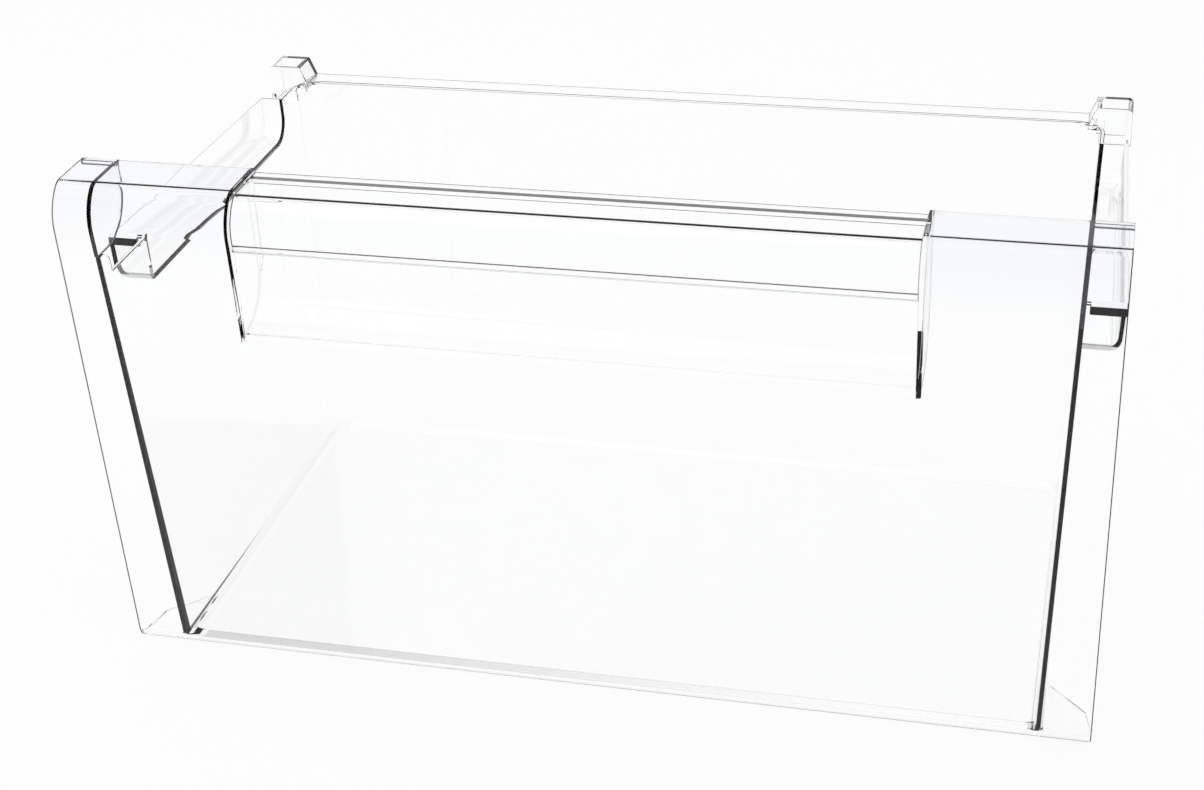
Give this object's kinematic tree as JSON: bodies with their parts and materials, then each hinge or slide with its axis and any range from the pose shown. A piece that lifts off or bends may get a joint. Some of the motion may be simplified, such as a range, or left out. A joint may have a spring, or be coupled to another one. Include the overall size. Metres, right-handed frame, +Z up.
{
  "type": "freezer drawer",
  "caption": "Clear plastic freezer drawer: deep open tub with side runners and rear stop tabs, front panel with a finger scoop, and a grip bar.",
  "frame": {"origin": "on the underside, at the middle of the drawer's width and depth", "axes": "+X to the right of someone who faces the drawer, +Y back into the freezer, +Z up"},
  "size_m": [0.47, 0.268, 0.255],
  "materials": {
    "tub_plastic": "clear polystyrene, polished mould",
    "panel_plastic": "clear polystyrene, polished mould",
    "bar_plastic": "clear polystyrene, polished mould"
  },
  "bodies": {
    "root": {"drawer_tub": "tub_plastic", "front_panel": "panel_plastic", "grip_bar": "bar_plastic"}
  },
  "joints": []
}
